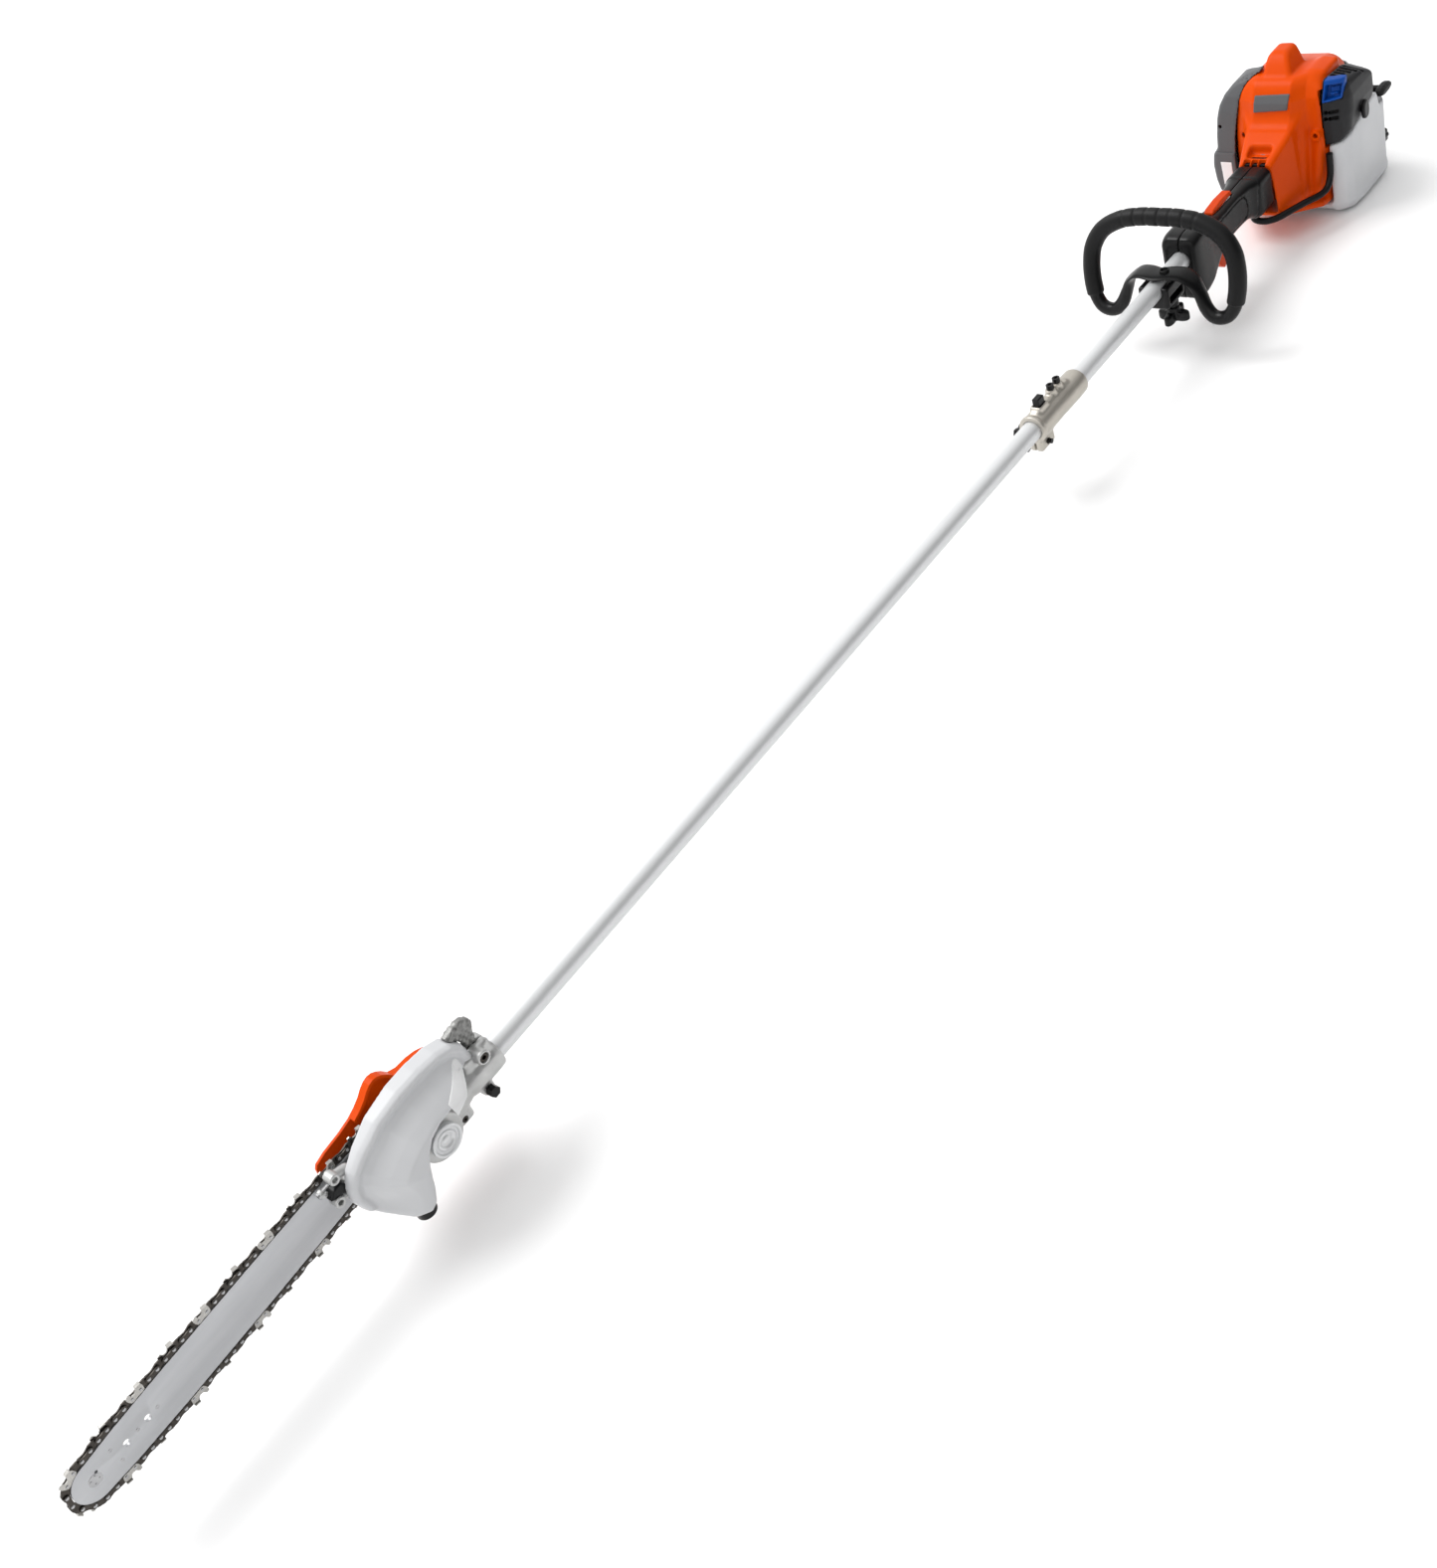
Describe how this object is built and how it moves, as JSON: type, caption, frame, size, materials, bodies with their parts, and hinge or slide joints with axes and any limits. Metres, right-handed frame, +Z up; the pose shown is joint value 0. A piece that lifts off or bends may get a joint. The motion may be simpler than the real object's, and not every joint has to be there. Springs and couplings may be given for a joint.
{
  "type": "petrol pole saw",
  "caption": "Petrol pole saw in two joined tube sections: engine with clamp-on loop handle at one end, geared saw head with guide bar and chain at the other.",
  "frame": {"origin": "on the flat underside of the fuel tank, directly below the centre line of the tubes and the engine's cylinder", "axes": "+X along the tubes from the engine towards the bar nose, +Y towards the air filter side of the engine, +Z up through the cylinder"},
  "size_m": [2.251, 0.221, 0.214],
  "materials": {
    "orange_shell": "satin",
    "orange_trigger": "matte",
    "grey_plastic": "matte",
    "dark_plastic": "matte",
    "black_plastic": "satin",
    "black_rubber": "matte",
    "blue_plastic": "satin",
    "white_tank": "satin",
    "white_shell": "satin",
    "tube_alloy": "satin anodised",
    "coupling_alloy": "bead blasted",
    "cast_alloy": "as cast",
    "machined_steel": "satin",
    "bar_steel": "satin ground",
    "dark_steel": "blued",
    "foam": "open foam"
  },
  "bodies": {
    "powerhead": {"engine_shroud": "orange_shell", "muffler_cover": "grey_plastic", "muffler": "machined_steel", "crankcase": "cast_alloy", "cylinder": "cast_alloy", "spark_plug_boot": "black_rubber", "clutch_housing": "cast_alloy", "carburettor": "cast_alloy", "filter_base": "dark_plastic", "air_filter_element": "foam", "air_filter_cover": "dark_plastic", "choke_bezel": "blue_plastic", "fuel_tank": "white_tank", "starter_housing": "black_plastic", "grip_left_shell": "black_plastic", "grip_right_shell": "black_plastic", "control_cable": "black_rubber", "upper_tube": "tube_alloy", "coupling_body": "coupling_alloy", "coupling_screw_rear": "black_plastic", "coupling_screw_front": "black_plastic"},
    "crank_train": {"crankshaft": "machined_steel", "flywheel_fan": "cast_alloy", "clutch_shoes": "dark_steel"},
    "upper_drive": {"clutch_drum": "machined_steel", "upper_drive_shaft": "machined_steel"},
    "trigger": {"throttle_trigger": "orange_trigger"},
    "lockout": {"throttle_lockout": "orange_trigger"},
    "switch": {"stop_switch": "orange_trigger"},
    "choke": {"choke_lever": "blue_plastic"},
    "primer": {"primer_bulb": "white_tank"},
    "recoil_grip": {"starter_handle": "black_rubber"},
    "tank_cap": {"fuel_cap": "black_plastic"},
    "latch": {"filter_latch": "black_plastic"},
    "front_handle": {"loop_handle": "black_plastic", "loop_sleeve": "black_rubber", "handle_clamp": "black_plastic"},
    "clamp_knob": {"handle_knob": "black_plastic"},
    "tube_knob": {"coupling_knob": "black_plastic"},
    "tube_button": {"release_button": "black_plastic"},
    "attachment": {"lower_tube": "tube_alloy", "gear_housing": "cast_alloy", "clamp_bolt_rear": "dark_steel", "clamp_bolt_front": "dark_steel", "gearbox_cap": "cast_alloy", "cast_hook": "cast_alloy", "oil_tank": "white_shell", "chain_cover": "orange_shell", "guide_bar": "bar_steel", "saw_chain": "dark_steel"},
    "lower_drive": {"lower_drive_shaft": "machined_steel", "pinion_gear": "machined_steel"},
    "sprocket_shaft": {"driven_gear": "machined_steel", "drive_sprocket": "dark_steel"},
    "bar_sprocket": {"nose_sprocket": "machined_steel"},
    "oil_filler": {"oil_cap": "black_plastic"},
    "oil_screw": {"oil_adjuster": "black_plastic"},
    "tensioner": {"tension_screw": "machined_steel"},
    "side_nut": {"bar_nut": "machined_steel"}
  },
  "joints": [
    {"name": "crank_spin", "type": "hinge", "parent": "powerhead", "child": "crank_train", "pos_m": [0.05, 0, 0.1], "axis": [1, 0, 0], "continuous": true},
    {"name": "drive_spin", "type": "hinge", "parent": "powerhead", "child": "upper_drive", "pos_m": [0.07, 0, 0.1], "axis": [1, 0, 0], "continuous": true},
    {"name": "throttle_pull", "type": "hinge", "parent": "powerhead", "child": "trigger", "pos_m": [0.262, 0, 0.072], "axis": [0, 1, 0], "range_deg": [0, 18], "stiffness_Nm_per_rad": 0.6, "springref_deg": -11.46},
    {"name": "lockout_press", "type": "hinge", "parent": "powerhead", "child": "lockout", "pos_m": [0.254, 0, 0.118], "axis": [0, -1, 0], "range_deg": [0, 3.5], "stiffness_Nm_per_rad": 1, "springref_deg": -5.73},
    {"name": "switch_slide", "type": "slide", "parent": "powerhead", "child": "switch", "axis": [1, 0, 0], "range_m": [0, 0.004]},
    {"name": "choke_turn", "type": "hinge", "parent": "powerhead", "child": "choke", "pos_m": [0.039, 0.073, 0.159], "axis": [0, 1, 0], "range_deg": [0, 12]},
    {"name": "primer_press", "type": "slide", "parent": "powerhead", "child": "primer", "axis": [0, -1, 0], "range_m": [0, 0.004], "stiffness_N_per_m": 800, "springref_m": -0.001},
    {"name": "starter_pull", "type": "slide", "parent": "powerhead", "child": "recoil_grip", "axis": [0, 1, 0], "range_m": [0, 0.6], "stiffness_N_per_m": 15, "springref_m": -0.3},
    {"name": "fuel_cap_turn", "type": "hinge", "parent": "powerhead", "child": "tank_cap", "pos_m": [-0.086, 0.068, 0.04], "axis": [-1, 0, 0], "range_deg": [0, 90]},
    {"name": "filter_latch_turn", "type": "hinge", "parent": "powerhead", "child": "latch", "pos_m": [0.004, 0.092, 0.126], "axis": [0, 1, 0], "range_deg": [0, 90]},
    {"name": "handle_slide", "type": "slide", "parent": "powerhead", "child": "front_handle", "axis": [1, 0, 0], "range_m": [-0.008, 0.12]},
    {"name": "handle_knob_turn", "type": "hinge", "parent": "front_handle", "child": "clamp_knob", "pos_m": [0.378, 0.006, 0.05], "axis": [0, 0, 1], "range_deg": [0, 180]},
    {"name": "coupling_knob_turn", "type": "hinge", "parent": "powerhead", "child": "tube_knob", "pos_m": [0.684, -0.02, 0.076], "axis": [0, 1, 0], "range_deg": [0, 180]},
    {"name": "release_press", "type": "slide", "parent": "powerhead", "child": "tube_button", "axis": [0, 0, -1], "range_m": [0, 0.0035], "stiffness_N_per_m": 600, "springref_m": -0.002},
    {"name": "attachment_slide", "type": "slide", "parent": "powerhead", "child": "attachment", "axis": [1, 0, 0], "range_m": [0, 0.05]},
    {"name": "lower_drive_spin", "type": "hinge", "parent": "attachment", "child": "lower_drive", "pos_m": [1.2, 0, 0.1], "axis": [1, 0, 0], "continuous": true},
    {"name": "sprocket_spin", "type": "hinge", "parent": "attachment", "child": "sprocket_shaft", "pos_m": [1.755, -0.031, 0.1], "axis": [0, 1, 0], "continuous": true},
    {"name": "nose_sprocket_spin", "type": "hinge", "parent": "attachment", "child": "bar_sprocket", "pos_m": [2.13079, -0.031, 0.08753], "axis": [0, 1, 0], "continuous": true},
    {"name": "oil_cap_turn", "type": "hinge", "parent": "attachment", "child": "oil_filler", "pos_m": [1.803, 0.018, 0.052], "axis": [0, 0, -1], "range_deg": [0, 90]},
    {"name": "oil_adjuster_turn", "type": "hinge", "parent": "attachment", "child": "oil_screw", "pos_m": [1.69, 0.012, 0.0815], "axis": [0, 1, 0], "range_deg": [0, 90]},
    {"name": "tension_screw_turn", "type": "hinge", "parent": "attachment", "child": "tensioner", "pos_m": [1.856, -0.017, 0.1242], "axis": [1, 0, 0], "range_deg": [0, 180]},
    {"name": "bar_nut_turn", "type": "hinge", "parent": "attachment", "child": "side_nut", "pos_m": [1.806, -0.051, 0.0983], "axis": [0, -1, 0], "range_deg": [0, 180]}
  ],
  "couplings": [
    {"joint": "lower_drive_spin", "follows": "drive_spin", "ratio": 1},
    {"joint": "sprocket_spin", "follows": "drive_spin", "ratio": 0.61111},
    {"joint": "nose_sprocket_spin", "follows": "drive_spin", "ratio": 0.40741}
  ]
}
